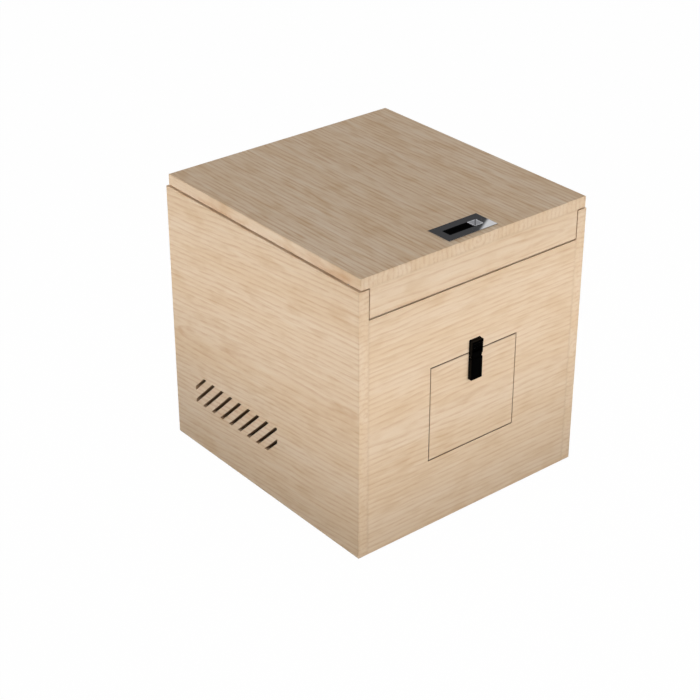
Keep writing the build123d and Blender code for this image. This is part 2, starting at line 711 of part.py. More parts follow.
# ---- flap ------------------------------------------------------------------------------
def flap_panel():
    """The small door, let in at its edges for the hinge leaves."""
    panel = block(
        -FLAP_HALF, FLAP_HALF, FRONT, FRONT_INNER - FLAP_SETBACK, FLAP_BOTTOM, FLAP_TOP
    )
    panel = fillet(edges_at(panel, Axis.Y, FRONT), FINE_ARRIS)
    panel = cut_each(panel, [leaf_pocket(side, on_frame=False) for _, side in SIDES])
    panel = cut_each(panel, copies(LEAF_SCREW.hole(), all_leaf_screw_places(on_frame=False)))
    return cut_each(panel, copies(LATCH_SCREW.hole(), base_screw_places()))


# ---- write every node ------------------------------------------------------------------
def main():
    os.makedirs("parts", exist_ok=True)

    save("left_side_panel", cut_each(side_panel(-1), vent_slots()))
    save("right_side_panel", side_panel(1))
    save("front_panel", front_panel())
    save("back_panel", back_panel())
    save("bottom_panel", bottom_panel())
    save("drop_mat", drop_mat())
    for board in ("front", "back", "bottom"):
        save(f"{board}_panel_dowels", *dowels(board))
    save("lid_bumpers", *lid_bumpers())

    save("lid_panel", lid_panel())
    save("lid_lip", lid_lip())
    save("lip_dowels", *lip_dowels())
    save("flush_pull", flush_pull())
    save("flush_pull_screws", *copies(PULL_SCREW.solid(), pull_screw_places()))
    for name, side in SIDES:
        save(f"lid_hinge_{name}_frame_leaf", hinge_leaf(side * HINGE_MIDDLE, lid_side=False))
        save(f"lid_hinge_{name}_lid_leaf", hinge_leaf(side * HINGE_MIDDLE, lid_side=True))
        save(f"lid_hinge_{name}_pin", hinge_pin(side * HINGE_MIDDLE))
    for part, lid_side in (("frame", False), ("lid", True)):
        screws = copies(HINGE_SCREW.solid(), all_hinge_screw_places(lid_side))
        save(f"lid_hinge_{part}_screws", *screws)

    save("flap_panel", flap_panel())
    save("flap_stop_rail", flap_stop_rail())
    save("flap_stop_rail_screws", *copies(RAIL_SCREW.solid(), rail_screw_places()))
    for name, side in SIDES:
        save(f"flap_hinge_{name}_frame_leaf", flap_leaf(side, on_frame=True))
        save(f"flap_hinge_{name}_flap_leaf", flap_leaf(side, on_frame=False))
        save(f"flap_hinge_{name}_pin", flap_pin(side))
    for part, on_frame in (("frame", True), ("flap", False)):
        screws = copies(LEAF_SCREW.solid(), all_leaf_screw_places(on_frame))
        save(f"flap_hinge_{part}_screws", *screws)

    save("latch_base", latch_base())
    save("latch_lever", latch_lever())
    save("latch_lever_rivets", *latch_lever_rivets())
    save("latch_bail", latch_bail())
    save("latch_bail_pin", latch_bail_pin())
    save("latch_keeper", latch_keeper())
    save("latch_base_screws", *copies(LATCH_SCREW.solid(), base_screw_places()))
    save("latch_keeper_screw", keeper_screw_place() * LATCH_SCREW.solid())


main()
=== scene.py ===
import math

import bmesh
import bpy
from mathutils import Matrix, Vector


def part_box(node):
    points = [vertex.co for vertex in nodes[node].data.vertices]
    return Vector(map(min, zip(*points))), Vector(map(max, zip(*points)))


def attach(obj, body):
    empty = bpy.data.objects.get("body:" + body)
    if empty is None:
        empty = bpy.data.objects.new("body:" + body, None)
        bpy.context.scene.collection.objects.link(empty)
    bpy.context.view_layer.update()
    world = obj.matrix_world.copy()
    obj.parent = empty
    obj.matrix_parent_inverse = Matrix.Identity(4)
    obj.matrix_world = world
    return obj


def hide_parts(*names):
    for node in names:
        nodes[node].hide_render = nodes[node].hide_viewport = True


# Looks for the book drop box. Metres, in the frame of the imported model:
# +X to the right, +Y to the back, +Z up, origin on the floor in the middle of the box.

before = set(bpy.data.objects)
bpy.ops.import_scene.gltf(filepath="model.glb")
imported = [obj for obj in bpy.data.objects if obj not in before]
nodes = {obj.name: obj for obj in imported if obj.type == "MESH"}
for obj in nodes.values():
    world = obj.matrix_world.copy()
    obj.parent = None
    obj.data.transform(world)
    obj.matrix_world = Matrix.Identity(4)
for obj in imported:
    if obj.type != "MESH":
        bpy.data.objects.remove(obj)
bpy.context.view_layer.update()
AXES = {"X": 0, "Y": 1, "Z": 2}


# ---- small helpers for shader nodes ----------------------------------------------------
MIX_FACTOR, MIX_FIRST, MIX_SECOND, MIX_RESULT = 0, 6, 7, 2      # a Mix node's colour sockets


def linear(red, green, blue):
    """A colour given as it looks on a screen, 0 to 255, turned into linear light."""
    def one(value):
        """One channel, by the sRGB curve."""
        value = value / 255.0
        return value / 12.92 if value <= 0.04045 else ((value + 0.055) / 1.055) ** 2.4
    return (one(red), one(green), one(blue), 1.0)


def put(tree, socket, value):
    """Feed a value or another node's output into a socket."""
    if isinstance(value, bpy.types.NodeSocket):
        tree.links.new(value, socket)
    else:
        socket.default_value = value


def math_node(tree, operation, *values):
    """A Math node's result."""
    node = tree.nodes.new("ShaderNodeMath")
    node.operation = operation
    for socket, value in zip(node.inputs, values):
        put(tree, socket, value)
    return node.outputs[0]


def vector_node(tree, operation, *values):
    """A Vector Math node."""
    node = tree.nodes.new("ShaderNodeVectorMath")
    node.operation = operation
    for socket, value in zip(node.inputs, values):
        put(tree, socket, value)
    return node


def total(tree, *values):
    """The sum of several values."""
    result = values[0]
    for value in values[1:]:
        result = math_node(tree, "ADD", result, value)
    return result


def times(tree, *values):
    """The product of several values."""
    result = values[0]
    for value in values[1:]:
        result = math_node(tree, "MULTIPLY", result, value)
    return result


def minus(tree, first, second):
    """The first value less the second."""
    return math_node(tree, "SUBTRACT", first, second)


def size_of(tree, value):
    """A value without its sign."""
    return math_node(tree, "ABSOLUTE", value)


def swing(tree, value):
    """Noise from 0 to 1, shifted to lie evenly about 0."""
    return minus(tree, value, 0.5)


def ease(tree, value, low, high, to_low=0.0, to_high=1.0):
    """A smooth step from to_low to to_high as the value goes from low to high."""
    node = tree.nodes.new("ShaderNodeMapRange")
    node.interpolation_type = "SMOOTHSTEP"
    for name, setting in (
        ("Value", value), ("From Min", low), ("From Max", high),
        ("To Min", to_low), ("To Max", to_high),
    ):
        put(tree, node.inputs[name], setting)
    return node.outputs["Result"]


def fade(tree, value, low, high):
    """A smooth step from 1 down to 0 as the value goes from low to high."""
    return ease(tree, value, low, high, to_low=1.0, to_high=0.0)


def scaled(tree, vector, scales):
    """A vector with each component multiplied."""
    return vector_node(tree, "MULTIPLY", vector, scales).outputs[0]


def moved(tree, vector, offset):
    """A vector plus a fixed or linked offset."""
    return vector_node(tree, "ADD", vector, offset).outputs[0]


def parts_of(tree, vector):
    """The three components of a vector."""
    node = tree.nodes.new("ShaderNodeSeparateXYZ")
    put(tree, node.inputs[0], vector)
    return node.outputs[0], node.outputs[1], node.outputs[2]


def vector_of(tree, x, y, z):
    """A vector from three components."""
    node = tree.nodes.new("ShaderNodeCombineXYZ")
    for socket, value in zip(node.inputs, (x, y, z)):
        put(tree, socket, value)
    return node.outputs[0]


def place(tree):
    """Where on the object a point is, in the object's own coordinates."""
    return tree.nodes.new("ShaderNodeTexCoord").outputs["Object"]


def offset_from(tree, centre):
    """The three components of the way from a centre to a point of the object."""
    return parts_of(tree, moved(tree, place(tree), tuple(-c for c in centre)))


def noise(tree, vector, scales, detail=2.0, roughness=0.5):
    """Smooth noise between 0 and 1, with scales the marks per metre along each component."""
    node = tree.nodes.new("ShaderNodeTexNoise")
    node.inputs["Scale"].default_value = 1.0
    node.inputs["Detail"].default_value = detail
    node.inputs["Roughness"].default_value = roughness
    put(tree, node.inputs["Vector"], scaled(tree, vector, scales))
    return node.outputs["Fac"]


def specks(tree, per_metre, detail=2.0, roughness=0.5):
    """Noise over the object with the same number of marks per metre each way."""
    return noise(tree, place(tree), (per_metre, per_metre, per_metre), detail, roughness)


def blend_colours(tree, factor, first, second, way="MIX"):
    """Two colours mixed."""
    node = tree.nodes.new("ShaderNodeMix")
    node.data_type = "RGBA"
    node.blend_type = way
    node.clamp_factor = True
    put(tree, node.inputs[MIX_FACTOR], factor)
    put(tree, node.inputs[MIX_FIRST], first)
    put(tree, node.inputs[MIX_SECOND], second)
    return node.outputs[MIX_RESULT]


def bump(tree, height, distance, strength):
    """A surface normal from a height."""
    node = tree.nodes.new("ShaderNodeBump")
    node.inputs["Strength"].default_value = strength
    node.inputs["Distance"].default_value = distance
    put(tree, node.inputs["Height"], height)
    return node.outputs["Normal"]


def new_material(name, **settings):
    """A material with one Principled shader: the material, its tree and the shader's inputs."""
    material = bpy.data.materials.new(name)
    material.use_nodes = True
    tree = material.node_tree
    shader = tree.nodes["Principled BSDF"]
    for key, value in settings.items():
        put(tree, shader.inputs[key.replace("_", " ")], value)
    return material, tree, shader.inputs


def wear(tree, centre, half_sizes, reach):
    """1 on the edges of a board, falling to 0 within reach of them."""
    near = [
        minus(tree, half, size_of(tree, part))
        for half, part in zip(half_sizes, offset_from(tree, centre))
    ]
    low = math_node(tree, "MINIMUM", near[0], near[1])
    high = math_node(tree, "MAXIMUM", near[0], near[1])
    middle = math_node(tree, "MAXIMUM", low, math_node(tree, "MINIMUM", high, near[2]))
    return fade(tree, middle, 0.0, reach)


def inside(tree, low, high):
    """1 inside a box given by two corners, 0 outside it."""
    result = 1.0
    for part, start, end in zip(parts_of(tree, place(tree)), low, high):
        result = times(
            tree, result, math_node(tree, "GREATER_THAN", part, start),
            math_node(tree, "LESS_THAN", part, end),
        )
    return result


# ---- maple ------------------------------------------------------------------------------
PALE_WOOD = linear(234, 208, 177)
LIGHT_WOOD = linear(238, 215, 188)
CREAM_WOOD = linear(245, 227, 204)
BROWN_WOOD = linear(213, 177, 135)
LINE_WOOD = linear(200, 151, 103)
PORE_WOOD = linear(170, 130, 92)
RUBBED_WOOD = linear(196, 162, 126)
# Painted shade: the colour that sawn edges in the seams and slots are darkened towards, standing in
# for the shade inside the narrow gaps.
SEAM_SHADE_WOOD = linear(82, 60, 43)
RING = 0.0085                   # width of one growth ring
RING_WAVE = 0.0115              # how far the rings wave in and out ...
RING_JITTER = 0.0050            # ... and how far they tremble
PITH_BEND = 0.115               # how fast the pith nears the face away from its apex, per metre
PITH_SWAY = 0.008               # how far the pith wanders sideways
LINE_UNBROKEN = 0.30            # how much of a dark growth line shows where it is faintest
PORE_SHOWS = 0.18               # how strongly pores and fibres tint the wood
FIBRE_SHOWS = 0.10
FIBRE_RISE = 0.5                # relief of fibres, growth lines and pores, over GRAIN_RELIEF
LINE_RISE = -0.5
PORE_RISE = -0.8
GRAIN_RELIEF = 0.0002
END_FIGURE = 0.85               # how strongly the grain shows on sawn ends
SEED_STEPS = (1.0, 0.37, 0.71)  # the way through the tree on which the seed moves a board
SQUARE = (0.2, 0.9)             # a face turns from not facing an axis to facing it in this range
WEAR_REACH = 0.004              # width of the rubbed line along a board's edges
WEAR_SHOWS = 0.35
UPRIGHT_SEAM_SHADE = 0.25            # painted seam shade on upright sawn edges, beside 1 on level ones
SLOT_SHADE = (0.10, 0.68)       # painted shade at the mouth of a slot, and deeper than its shade depth
SEAM_SHADOW = 0.42                   # painted shadow darkening the face beside a level seam ...
SEAM_SHADOW_REACH = 0.0022           # ... and how far it reaches


def maple_group():
    """Solid maple: growth rings round a pith that wanders through the board.

    The vector's X is along the grain, Y across the board and Z through its thickness.
    Figure is how strongly the grain shows.
    """
    tree = bpy.data.node_groups.new("maple", "ShaderNodeTree")
    for in_out, kinds in (
        ("INPUT", {
            "Vector": "Vector", "Apex": "Float", "Phase": "Float", "Figure": "Float",
            "Seed": "Vector",
        }),
        ("OUTPUT", {"Color": "Color", "Roughness": "Float", "Height": "Float"}),
    ):
        for name, kind in kinds.items():
            tree.interface.new_socket(name=name, in_out=in_out, socket_type="NodeSocket" + kind)
    given = tree.nodes.new("NodeGroupInput").outputs
    along, across, through = parts_of(tree, given["Vector"])
    spot = moved(tree, given["Vector"], given["Seed"])

    def marks(lengthwise, crosswise, detail=2.0, roughness=0.5):
        """Noise with this many marks per metre along the grain, and across it."""
        return noise(tree, spot, (lengthwise, crosswise, crosswise), detail, roughness)

    # How far a point is from the wandering pith, and so where it lies within its ring.
    from_apex = minus(tree, along, given["Apex"])
    pith_rise = times(tree, from_apex, from_apex, PITH_BEND)
    sway = swing(tree, marks(lengthwise=4.0, crosswise=0.0))
    off_across = total(tree, across, times(tree, sway, PITH_SWAY))
    off_through = minus(tree, through, pith_rise)
    from_pith = vector_node(tree, "LENGTH", vector_of(tree, off_across, off_through, 0.0))
    waviness = swing(tree, marks(lengthwise=5.5, crosswise=30.0))
    jitter = swing(tree, marks(lengthwise=18.0, crosswise=90.0))
    radius = total(
        tree, from_pith.outputs["Value"],
        times(tree, waviness, RING_WAVE), times(tree, jitter, RING_JITTER),
    )
    rings = total(tree, math_node(tree, "DIVIDE", radius, RING), given["Phase"])
    turn = math_node(tree, "FRACT", rings)

    # Late wood darkens slowly through a ring and ends sharply at the next.
    late = times(tree, ease(tree, turn, 0.40, 0.85), fade(tree, turn, 0.87, 1.0))
    broken = ease(tree, marks(lengthwise=30.0, crosswise=120.0), 0.32, 0.66)
    streak = marks(lengthwise=20.0, crosswise=240.0, detail=3.0, roughness=0.55)
    streak = ease(tree, streak, 0.48, 0.74)
    pale_streak = ease(tree, marks(lengthwise=11.0, crosswise=110.0), 0.50, 0.76)
    fibre = marks(lengthwise=90.0, crosswise=1500.0, detail=3.0, roughness=0.6)
    cloud = ease(tree, marks(lengthwise=20.0, crosswise=42.0), 0.46, 0.74)
    band = ease(tree, marks(lengthwise=1.6, crosswise=22.0, detail=1.0), 0.30, 0.70)
    pore = ease(tree, marks(lengthwise=130.0, crosswise=1900.0, detail=1.0), 0.66, 0.80)
    line = times(
        tree, late, total(tree, LINE_UNBROKEN, times(tree, broken, 1.0 - LINE_UNBROKEN))
    )

    wood = blend_colours(tree, band, PALE_WOOD, LIGHT_WOOD)
    for mark, shows, colour in (
        (cloud, 0.30, BROWN_WOOD), (line, 0.34, LINE_WOOD),
        (streak, 0.30, BROWN_WOOD), (pale_streak, 0.34, CREAM_WOOD),
    ):
        wood = blend_colours(tree, times(tree, mark, given["Figure"], shows), wood, colour)
    wood = blend_colours(tree, times(tree, pore, PORE_SHOWS), wood, PORE_WOOD)
    wood = blend_colours(tree, FIBRE_SHOWS, wood, vector_of(tree, fibre, fibre, fibre), "OVERLAY")
    height = total(
        tree, times(tree, fibre, FIBRE_RISE), times(tree, line, LINE_RISE),
        times(tree, pore, PORE_RISE),
    )
    out = tree.nodes.new("NodeGroupOutput").inputs
    put(tree, out["Color"], wood)
    put(tree, out["Roughness"], ease(tree, fibre, 0.2, 0.8, to_low=0.46, to_high=0.60))
    put(tree, out["Height"], height)
    return tree


MAPLE = maple_group()


def maple(
    name, node, grain, across, tilt=0.0, apex=0.075, phase=0.33, seed=0.0, middle=None,
    figure=1.0, dark_edges=None, soot=None, scorched=(),
):
    """The maple of one board. grain and across are signed axes, such as "-Y".

    tilt turns the grain in the board's face, in degrees. apex is how far along the grain the
    pith turns back. phase, 0 to 1, and seed choose the rings. middle is the pith's place;
    without it the pith runs through the middle of the board. figure is how strongly the grain
    shows. dark_edges is the box, as two corners, within which sawn edges are darkened with painted
    shade, so that the narrow seams read as dark. soot is the depth over which that painted
    shade sets in, behind the face on the low side of the board's thickness. scorched holds the
    heights of the seams beside which the board's face is darkened a little with a painted shadow.
    """
    low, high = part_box(node)
    half_sizes = tuple((high - low) / 2)
    through = (set(AXES) - {grain[-1], across[-1]}).pop()
    material, tree, shader = new_material(name)
    offset = offset_from(tree, middle or (low + high) / 2)
    axes = [
        times(tree, offset[AXES[axis[-1]]], -1.0 if axis[0] == "-" else 1.0)
        for axis in (grain, across, through)
    ]
    turn = tree.nodes.new("ShaderNodeVectorRotate")
    turn.rotation_type = "Z_AXIS"
    put(tree, turn.inputs["Vector"], vector_of(tree, *axes))
    turn.inputs["Angle"].default_value = math.radians(tilt)
    normal = parts_of(tree, tree.nodes.new("ShaderNodeTexCoord").outputs["Normal"])

    def facing(axis, to_low, to_high):
        """to_high on faces square to an axis, to_low on the others."""
        return ease(tree, size_of(tree, normal[AXES[axis[-1]]]), *SQUARE, to_low, to_high)

    group = tree.nodes.new("ShaderNodeGroup")
    group.node_tree = MAPLE
    for key, value in (
        ("Vector", turn.outputs[0]), ("Apex", apex), ("Phase", phase),
        ("Figure", facing(grain, figure, END_FIGURE)),
        ("Seed", tuple(seed * step for step in SEED_STEPS)),
    ):
        put(tree, group.inputs[key], value)
    rubbed = times(
        tree, wear(tree, (low + high) / 2, half_sizes, WEAR_REACH), specks(tree, 60.0), WEAR_SHOWS
    )
    colour = blend_colours(tree, rubbed, group.outputs["Color"], RUBBED_WOOD)
    # Painted shade: sawn edges within the box are darkened so the seams read as shaded, upright
    # edges less than level ones.
    if dark_edges:
        painted_shade = times(
            tree, facing(through, 1.0, 0.0), inside(tree, *dark_edges),
            facing(across, UPRIGHT_SEAM_SHADE, 1.0),
        )
        # Painted shade: inside the slots the darkening grows with depth behind the face, as the
        # shade deepens there.
        if soot:
            depth = total(tree, offset[AXES[through]], half_sizes[AXES[through]])
            painted_shade = times(tree, painted_shade, ease(tree, depth, 0.0, soot, *SLOT_SHADE))
        # Painted shadow: a thin darker band on the face beside each level seam.
        for seam in scorched:
            height = parts_of(tree, place(tree))[AXES[across[-1]]]
            off_seam = size_of(tree, minus(tree, height, seam))
            scorch = ease(tree, off_seam, 0.0, SEAM_SHADOW_REACH, to_low=SEAM_SHADOW, to_high=0.0)
            painted_shade = math_node(tree, "MAXIMUM", painted_shade, scorch)
        colour = blend_colours(tree, painted_shade, colour, SEAM_SHADE_WOOD)
    put(tree, shader["Base Color"], colour)
    put(tree, shader["Roughness"], group.outputs["Roughness"])
    put(tree, shader["Normal"], bump(tree, group.outputs["Height"], GRAIN_RELIEF, 0.35))
    shader["Specular IOR Level"].default_value = 0.28
    return material


# ---- metals, paint, rubber, felt --------------------------------------------------------
def brushed(name, colour, roughness):
    """Plated steel with fine lines along X and a little uneven dullness."""
    dirt, dirty = 0.15, 0.45
    material, tree, shader = new_material(name, Metallic=0.4)
    lines = noise(tree, place(tree), (40.0, 900.0, 900.0), detail=3.0)
    dull = specks(tree, 90.0, detail=3.0)
    shade = blend_colours(
        tree, times(tree, ease(tree, dull, 0.4, 0.8), dirt), colour,
        tuple(c * dirty for c in colour[:3]) + (1.0,),
    )
    put(tree, shader["Base Color"], shade)
    rough = total(
        tree, roughness, times(tree, swing(tree, lines), 0.16), times(tree, swing(tree, dull), 0.12)
    )
    put(tree, shader["Roughness"], math_node(tree, "MAXIMUM", rough, 0.03))
    put(tree, shader["Normal"], bump(tree, lines, distance=0.00003, strength=0.25))
    return material


def polished(name, plate_bottom):
    """Polished metal, faintly smeared, with painted shade inside the cup: a darker metal colour
    below the plate.
    """
    material, tree, shader = new_material(name, Metallic=1.0)
    smear = noise(tree, place(tree), (34.0, 60.0, 60.0), detail=3.0)
    hairline = ease(tree, noise(tree, place(tree), (50.0, 2600.0, 2600.0), detail=1.0), 0.72, 0.82)
    face = blend_colours(
        tree, times(tree, hairline, 0.10), linear(243, 243, 244), linear(200, 201, 204)
    )
    height = parts_of(tree, place(tree))[AXES["Z"]]
    # Painted shade: the metal below the top of the lid, inside the cup, gets a darker colour so the
    # recess reads dark.
    in_cup = math_node(tree, "LESS_THAN", height, plate_bottom)
    put(tree, shader["Base Color"], blend_colours(tree, in_cup, face, linear(200, 200, 202)))
    put(tree, shader["Roughness"], ease(tree, smear, 0.35, 0.85, to_low=0.010, to_high=0.018))
    return material


def black_paint(name):
    """Satin black coating with a fine texture, a little duller in patches."""
    material, tree, shader = new_material(name, Specular_IOR_Level=0.06)
    grit = specks(tree, 1400.0)
    patch = specks(tree, 120.0)
    colour = blend_colours(tree, ease(tree, patch, 0.35, 0.75), linear(1, 1, 1), linear(3, 3, 3))
    put(tree, shader["Base Color"], colour)
    put(tree, shader["Roughness"], ease(tree, patch, 0.3, 0.8, to_low=0.34, to_high=0.46))
    put(tree, shader["Normal"], bump(tree, grit, distance=0.00004, strength=0.30))
    return material


def soft_rubber(name):
    """Grey bumper rubber."""
    material, tree, shader = new_material(name)
    speck = specks(tree, 700.0)
    colour = blend_colours(tree, speck, linear(150, 150, 146), linear(176, 176, 172))
    put(tree, shader["Base Color"], colour)
    put(tree, shader["Roughness"], ease(tree, speck, 0.2, 0.8, to_low=0.55, to_high=0.75))
    put(tree, shader["Normal"], bump(tree, speck, distance=0.00005, strength=0.3))
    return material


def felt(name):
    """Grey wool felt: matted fibres, flecks and a soft sheen."""
    material, tree, shader = new_material(
        name, Roughness=0.95, Sheen_Weight=0.35, Sheen_Roughness=0.5
    )
    fibres = specks(tree, 900.0, detail=4.0, roughness=0.7)
    clumps = specks(tree, 140.0, detail=3.0)
    fleck = ease(tree, noise(tree, place(tree), (1700.0, 600.0, 900.0), detail=1.0), 0.66, 0.74)
    base = blend_colours(tree, ease(tree, clumps, 0.3, 0.7), linear(66, 69, 73), linear(88, 91, 96))
    base = blend_colours(tree, times(tree, fleck, 0.5), base, linear(140, 142, 146))
    put(tree, shader["Base Color"], base)
    height = total(tree, fibres, clumps)
    put(tree, shader["Normal"], bump(tree, height, distance=0.0006, strength=0.7))
    return material


def sewing_thread(name):
    """Pale twisted thread."""
    material, tree, shader = new_material(name, Roughness=0.8)
    twist = specks(tree, 2500.0, detail=1.0)
    colour = blend_colours(tree, twist, linear(120, 122, 126), linear(168, 170, 174))
    put(tree, shader["Base Color"], colour)
    return material


# ---- dressing the CAD nodes -------------------------------------------------------------
SLOT_MARGIN = 0.03              # the slots lie further than this inside the side's outline


def dress(material, *names):
    """Give CAD nodes one material."""
    for name in names:
        mesh = nodes[name].data
        mesh.materials.clear()
        mesh.materials.append(material)


def board(name, node, grain, across, **looks):
    """Dress one board in maple of its own."""
    dress(maple(name, node, grain, across, **looks), node)


front_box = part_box("front_panel")
front_middle = (front_box[0] + front_box[1]) / 2
lip_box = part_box("lid_lip")
left_low, left_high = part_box("left_side_panel")
slot_rim = Vector((-SLOT_MARGIN, SLOT_MARGIN, SLOT_MARGIN))
slots_box = (left_low + slot_rim, left_high - slot_rim)

board("maple_front", "front_panel", "X", "Z", dark_edges=front_box)
# The flap and lip get painted shade on their sawn edges and a painted shadow beside their level
# seams.
board(
    "maple_flap", "flap_panel", "X", "Z", middle=front_middle, dark_edges=front_box,
    scorched=[corner.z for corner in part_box("flap_panel")],
)
board(
    "maple_lip", "lid_lip", "X", "Z", apex=-0.09, phase=0.1, seed=2.3, dark_edges=lip_box,
    scorched=[lip_box[0].z],
)
board(
    "maple_left", "left_side_panel", "-Y", "Z", tilt=-5.4, seed=0.6, figure=1.15,
    dark_edges=slots_box, soot=0.010,
)
board("maple_right", "right_side_panel", "-Y", "Z", tilt=3.0, seed=4.1)
board("maple_back", "back_panel", "X", "Z", apex=-0.05, seed=5.2)
board("maple_floor", "bottom_panel", "X", "Y", seed=6.3)
board("maple_lid", "lid_panel", "-Y", "X", seed=1.4, figure=1.6)
board("maple_rail", "flap_stop_rail", "X", "Z", seed=7.7)
dress(
    maple("dowel_beech", "front_panel_dowels", "X", "Z", seed=8.2),
    *[name for name in nodes if name.endswith("dowels")],
)
dress(
    brushed("hinge_steel", linear(196, 197, 199), roughness=0.30),
    *[name for name in nodes if "hinge" in name], "flap_stop_rail_screws", "flush_pull_screws",
)
dress(polished("pull_polish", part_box("lid_panel")[1].z), "flush_pull")
dress(black_paint("latch_black"), "latch_base", "latch_lever", "latch_bail", "latch_keeper")
dress(
    brushed("black_zinc", linear(12, 12, 13), roughness=0.45),
    "latch_bail_pin", "latch_lever_rivets", "latch_base_screws", "latch_keeper_screw",
)
dress(soft_rubber("bumper_rubber"), "lid_bumpers")


# ---- the pad on the floor of the box ----------------------------------------------------
MAT_SEAM_IN = 0.016             # how far inside its outline the pad is sewn
THREAD_DEPTH = 0.0029           # how far the thread lies below the top of the pad's box


def drop_mat():
    """A felt pad with rounded corners, a crowned face and a sewn border."""
    low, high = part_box("drop_mat")
    centre = (low + high) / 2
    half_x, half_y = (high.x - low.x) / 2, (high.y - low.y) / 2
    thick = high.z - low.z
    corner = 0.012
    edge_height, edge_roll = 0.55, 0.006        # height of the edge, as a share, and its rounding
    groove_depth, groove_width = 0.0026, 0.0022
    crown = 0.0012
    count_x, count_y = 96, 100
    crowding = 1.6                              # how much closer the grid is near the edges
    mesh = bpy.data.meshes.new("drop_mat_felt")
    shape = bmesh.new()

    def rounded(x, y):
        """Pull a point of the square-cornered grid inside the rounded corner."""
        over_x = abs(x) - (half_x - corner)
        over_y = abs(y) - (half_y - corner)
        if over_x > 0 and over_y > 0:
            reach = max(over_x, over_y)
            size = math.hypot(over_x, over_y)
            over_x, over_y = over_x * reach / size, over_y * reach / size
            x = math.copysign(half_x - corner + over_x, x)
            y = math.copysign(half_y - corner + over_y, y)
        return x, y

    def top_height(x, y):
        """Height of the face over a point: a soft edge, a sewn groove and a low crown."""
        edge = min(half_x - abs(x), half_y - abs(y))
        roll = math.sin(min(edge / edge_roll, 1.0) * math.pi / 2)
        soft = thick * (edge_height + (1 - edge_height) * roll)
        groove = groove_depth * math.exp(-((edge - MAT_SEAM_IN) / groove_width) ** 2)
        bulge = math.cos(x / half_x * math.pi / 2) * math.cos(y / half_y * math.pi / 2)
        return low.z + soft - groove - crown * (1 - bulge)

    def spread(count):
        """Grid steps from -1 to 1, closer together near both ends."""
        steps = [-1 + 2 * i / count for i in range(count + 1)]
        return [math.copysign(1 - (1 - abs(s)) ** crowding, s) for s in steps]

    rows = []
    for fy in spread(count_y):
        row = []
        for fx in spread(count_x):
            x, y = rounded(fx * half_x, fy * half_y)
            row.append(shape.verts.new((centre.x + x, centre.y + y, top_height(x, y))))
        rows.append(row)
    for upper, lower in zip(rows, rows[1:]):
        for i in range(count_x):
            shape.faces.new((upper[i], upper[i + 1], lower[i + 1], lower[i]))
    rim = rows[0] + [r[-1] for r in rows[1:]] + rows[-1][-2::-1] + [r[0] for r in rows[-2:0:-1]]
    foot = [shape.verts.new((v.co.x, v.co.y, low.z)) for v in rim]
    for i in range(len(rim)):
        j = (i + 1) % len(rim)
        shape.faces.new((rim[j], rim[i], foot[i], foot[j]))
    shape.faces.new(foot)
    bmesh.ops.recalc_face_normals(shape, faces=shape.faces)
    for face in shape.faces:
        face.smooth = len(face.verts) == 4
    shape.to_mesh(mesh)
    shape.free()
    piece = bpy.data.objects.new("drop_mat_felt", mesh)
    bpy.context.scene.collection.objects.link(piece)
    mesh.materials.append(felt("grey_felt"))
    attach(piece, "carcass")
    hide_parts("drop_mat")


def mat_stitches():
    """The thread sewn round the pad: short stitches lying in the groove."""
    low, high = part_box("drop_mat")
    pitch, stitch, radius = 0.007, 0.0048, 0.00045
    level = high.z - THREAD_DEPTH
    x0, x1 = low.x + MAT_SEAM_IN, high.x - MAT_SEAM_IN
    y0, y1 = low.y + MAT_SEAM_IN, high.y - MAT_SEAM_IN
    corners = [Vector(corner) for corner in ((x0, y0), (x1, y0), (x1, y1), (x0, y1))]
    curve = bpy.data.curves.new("drop_mat_stitches", "CURVE")
    curve.dimensions = "3D"
    curve.bevel_depth = radius
    curve.bevel_resolution = 2
    for start, end in zip(corners, corners[1:] + corners[:1]):
        way = (end - start).normalized()
        for k in range(1, int((end - start).length / pitch)):
            spline = curve.splines.new("POLY")
            spline.points.add(2)
            for point, share, lift in zip(spline.points, (0.0, 0.5, 1.0), (0.0, radius, 0.0)):
                spot = start + way * (k * pitch + share * stitch)
                point.co = (spot.x, spot.y, level + lift, 1.0)
    piece = bpy.data.objects.new("drop_mat_stitches", curve)
    bpy.context.scene.collection.objects.link(piece)
    curve.materials.append(sewing_thread("thread"))
    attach(piece, "carcass")


drop_mat()
mat_stitches()


# ---- floor, light and camera ------------------------------------------------------------
AIM = Vector((-0.0435, 0.0043, 0.1923))
AZIMUTH = math.radians(-39.29)
ELEVATION = math.radians(29.25)
CAMERA_DISTANCE = 2.8105
LENS = 89.97                                # millimetres, before a sensor SENSOR wide
SENSOR = 36.0
SIGHT = 50.0                                # how far the camera sees
FLOOR_HALF = 30.0
FLOOR_GREY = (0.10, 0.10, 0.10, 1.0)        # what light sees of the floor
FLOOR_GLOW = 1.12                           # what the camera sees of it, mixed in by a share
FLOOR_GLOW_SHARE = 0.88
BACKDROP = (1.05, 1.05, 1.05, 1.0)
ROOM = (0.495, 0.488, 0.482, 1.0)           # the even light from all sides
LAMP_SIZE = (2.0, 0.4)
LAMP_SPREAD = math.radians(52)
LAMP_COLOUR = (1.0, 0.985, 0.965)
# What polished metal sees: dim walls, black ones, a bright wall, and a panel.
DIM = (0.055, 0.055, 0.057, 1.0)
BLACK = (0.004, 0.004, 0.004, 1.0)
BRIGHT = (1.15, 1.15, 1.15, 1.0)
PANEL = (0.62, 0.62, 0.63, 1.0)
PANEL_EDGE = (0.4488, -0.7509, 0.4845)      # square to the panel's edge, into the panel
FRONT_LEFT = (-0.61, -0.66, 0.43)
FRONT_RIGHT = (0.61, -0.66, 0.43)


